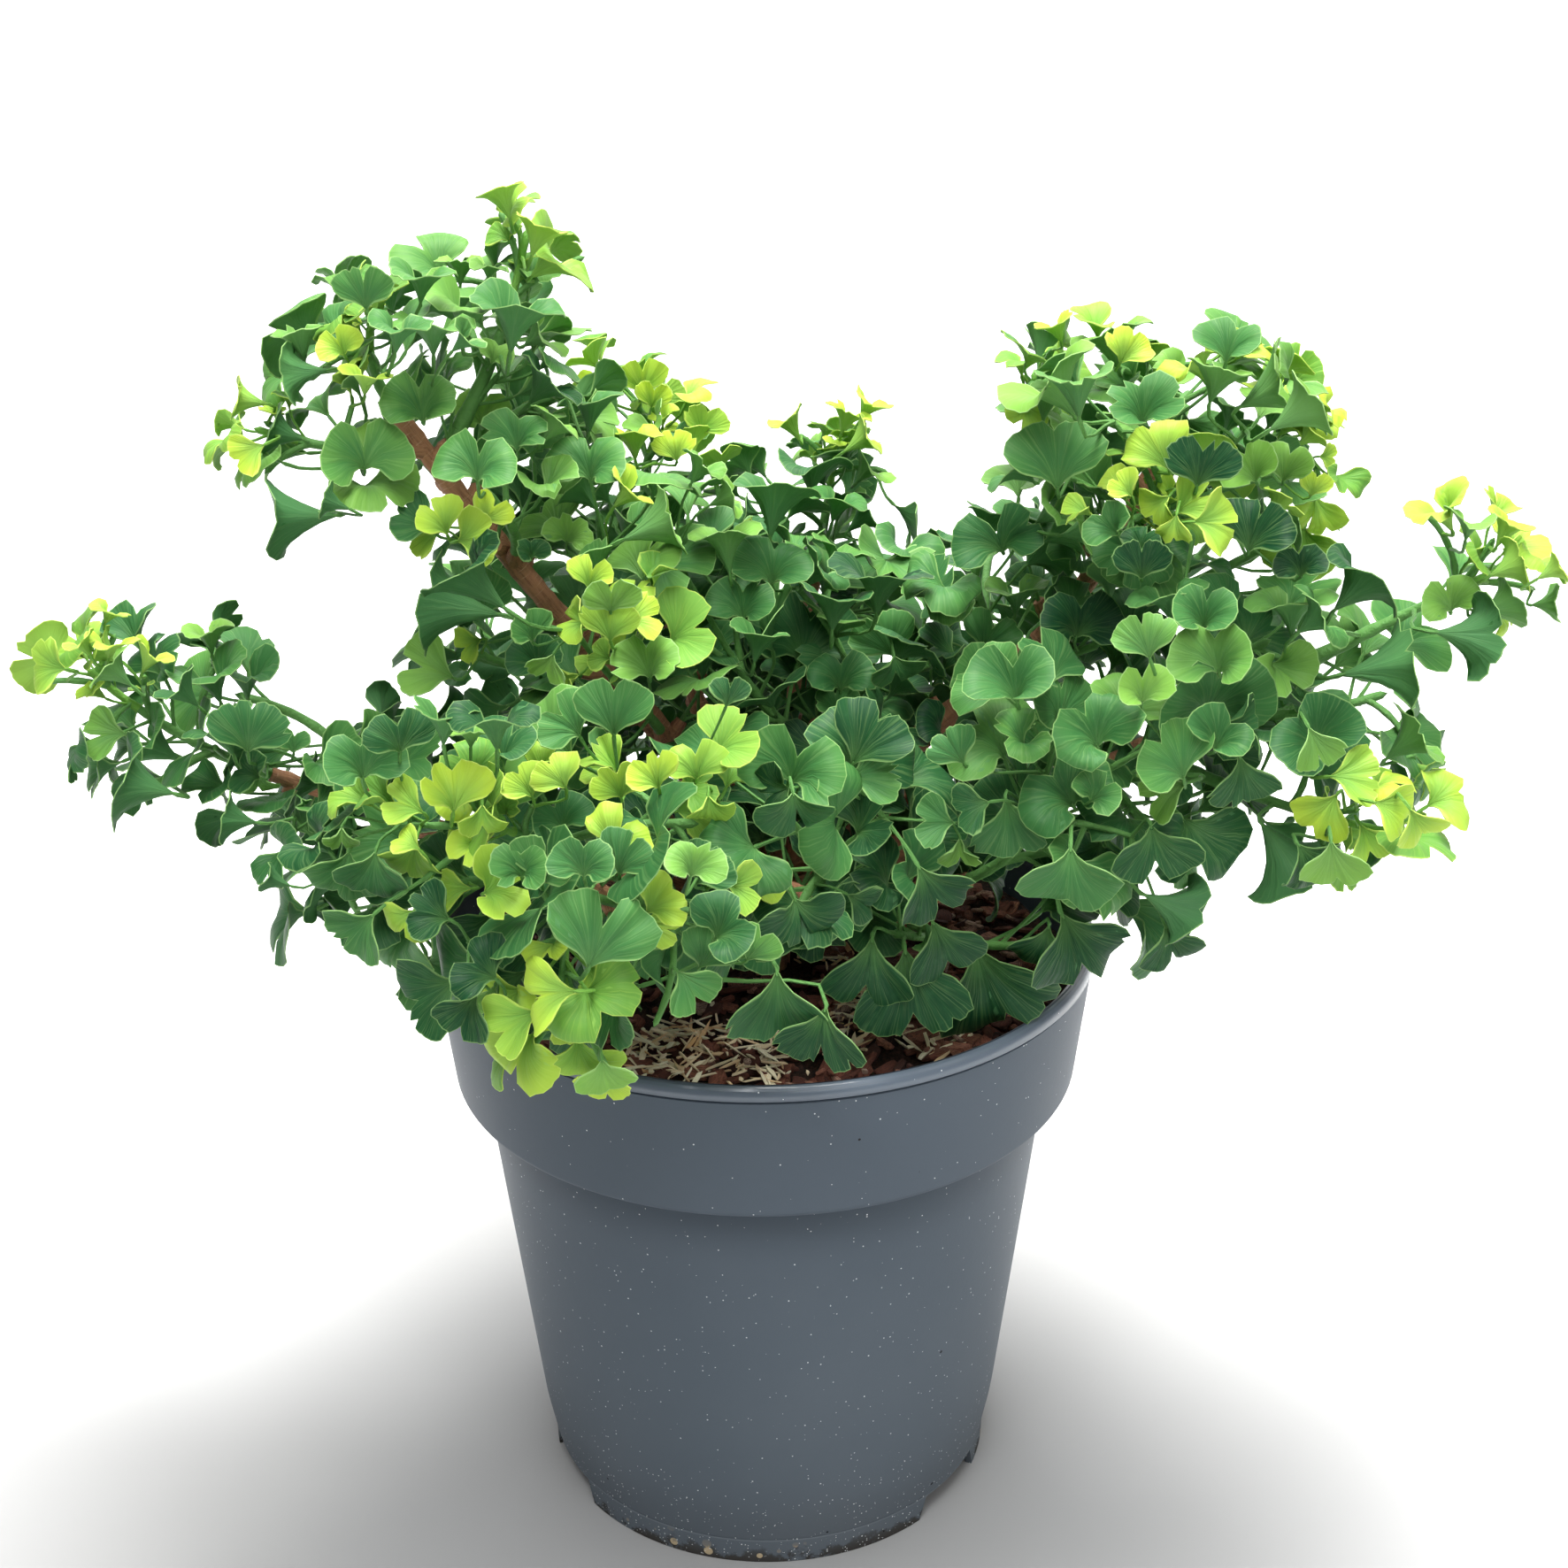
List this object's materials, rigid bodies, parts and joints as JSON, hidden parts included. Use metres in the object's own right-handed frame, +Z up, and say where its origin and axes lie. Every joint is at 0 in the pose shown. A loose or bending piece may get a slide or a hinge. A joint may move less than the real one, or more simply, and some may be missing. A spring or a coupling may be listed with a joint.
{
  "type": "potted dwarf ginkgo bonsai",
  "caption": "Spreading dwarf ginkgo with fan-shaped blue-green leaves and lime growing tips, in a round grey plastic nursery pot of soil under bark mulch.",
  "frame": {"origin": "centre of the flat underside of the pot, on the surface that it stands on", "axes": "+Z up along the pot's axis, -Y towards the front that the picture shows, +X to the right"},
  "size_m": [0.6569, 0.4749, 0.6442],
  "materials": {
    "grey_plastic": "satin",
    "potting_soil": "matte",
    "bark_mulch": "matte",
    "ginkgo_bark": "matte",
    "mature_leaf": "satin",
    "young_leaf": "satin"
  },
  "bodies": {
    "root": {"pot": "grey_plastic", "potting_soil": "potting_soil", "bark_mulch": "bark_mulch", "trunk_and_limbs": "ginkgo_bark", "spray_back_left_inner": "mature_leaf", "spray_back_left_top": "mature_leaf", "spray_back_side": "mature_leaf", "spray_back_top": "mature_leaf", "spray_crest": "mature_leaf", "spray_dome_front": "mature_leaf", "spray_dome_left": "mature_leaf", "spray_dome_low_left": "mature_leaf", "spray_dome_low_right": "mature_leaf", "spray_dome_middle": "mature_leaf", "spray_dome_right": "mature_leaf", "spray_dome_top": "mature_leaf", "spray_front_left_end": "mature_leaf", "spray_front_left_side": "mature_leaf", "spray_front_left_top": "mature_leaf", "spray_front_right_lower": "mature_leaf", "spray_front_right_upper": "mature_leaf", "spray_front_upper": "mature_leaf", "spray_left_far": "mature_leaf", "spray_left_lower": "mature_leaf", "spray_left_upper": "mature_leaf", "spray_low_back_end": "mature_leaf", "spray_low_back_left_end": "mature_leaf", "spray_low_back_right_end": "mature_leaf", "spray_middle_left": "mature_leaf", "spray_middle_top": "mature_leaf", "spray_right_back": "mature_leaf", "spray_right_far": "mature_leaf", "spray_right_front": "mature_leaf", "spray_right_lime": "mature_leaf", "spray_right_lower": "mature_leaf", "spray_right_upper": "mature_leaf", "spray_upper_left_back": "mature_leaf", "spray_upper_left_end": "mature_leaf", "spray_upper_left_front": "mature_leaf", "spray_upper_left_low": "mature_leaf", "spray_upper_left_outer": "mature_leaf", "spray_upper_left_trio": "mature_leaf", "spray_upper_left_under": "mature_leaf", "young_back_left_top": "young_leaf", "young_back_top": "young_leaf", "young_crest": "young_leaf", "young_dome_front": "young_leaf", "young_dome_left": "young_leaf", "young_dome_right": "young_leaf", "young_dome_top": "young_leaf", "young_front_left_end": "young_leaf", "young_front_left_top": "young_leaf", "young_left_far": "young_leaf", "young_right_far": "young_leaf", "young_right_lime": "young_leaf", "young_upper_left_end": "young_leaf", "young_upper_left_outer": "young_leaf", "young_upper_left_trio": "young_leaf"}
  },
  "joints": []
}
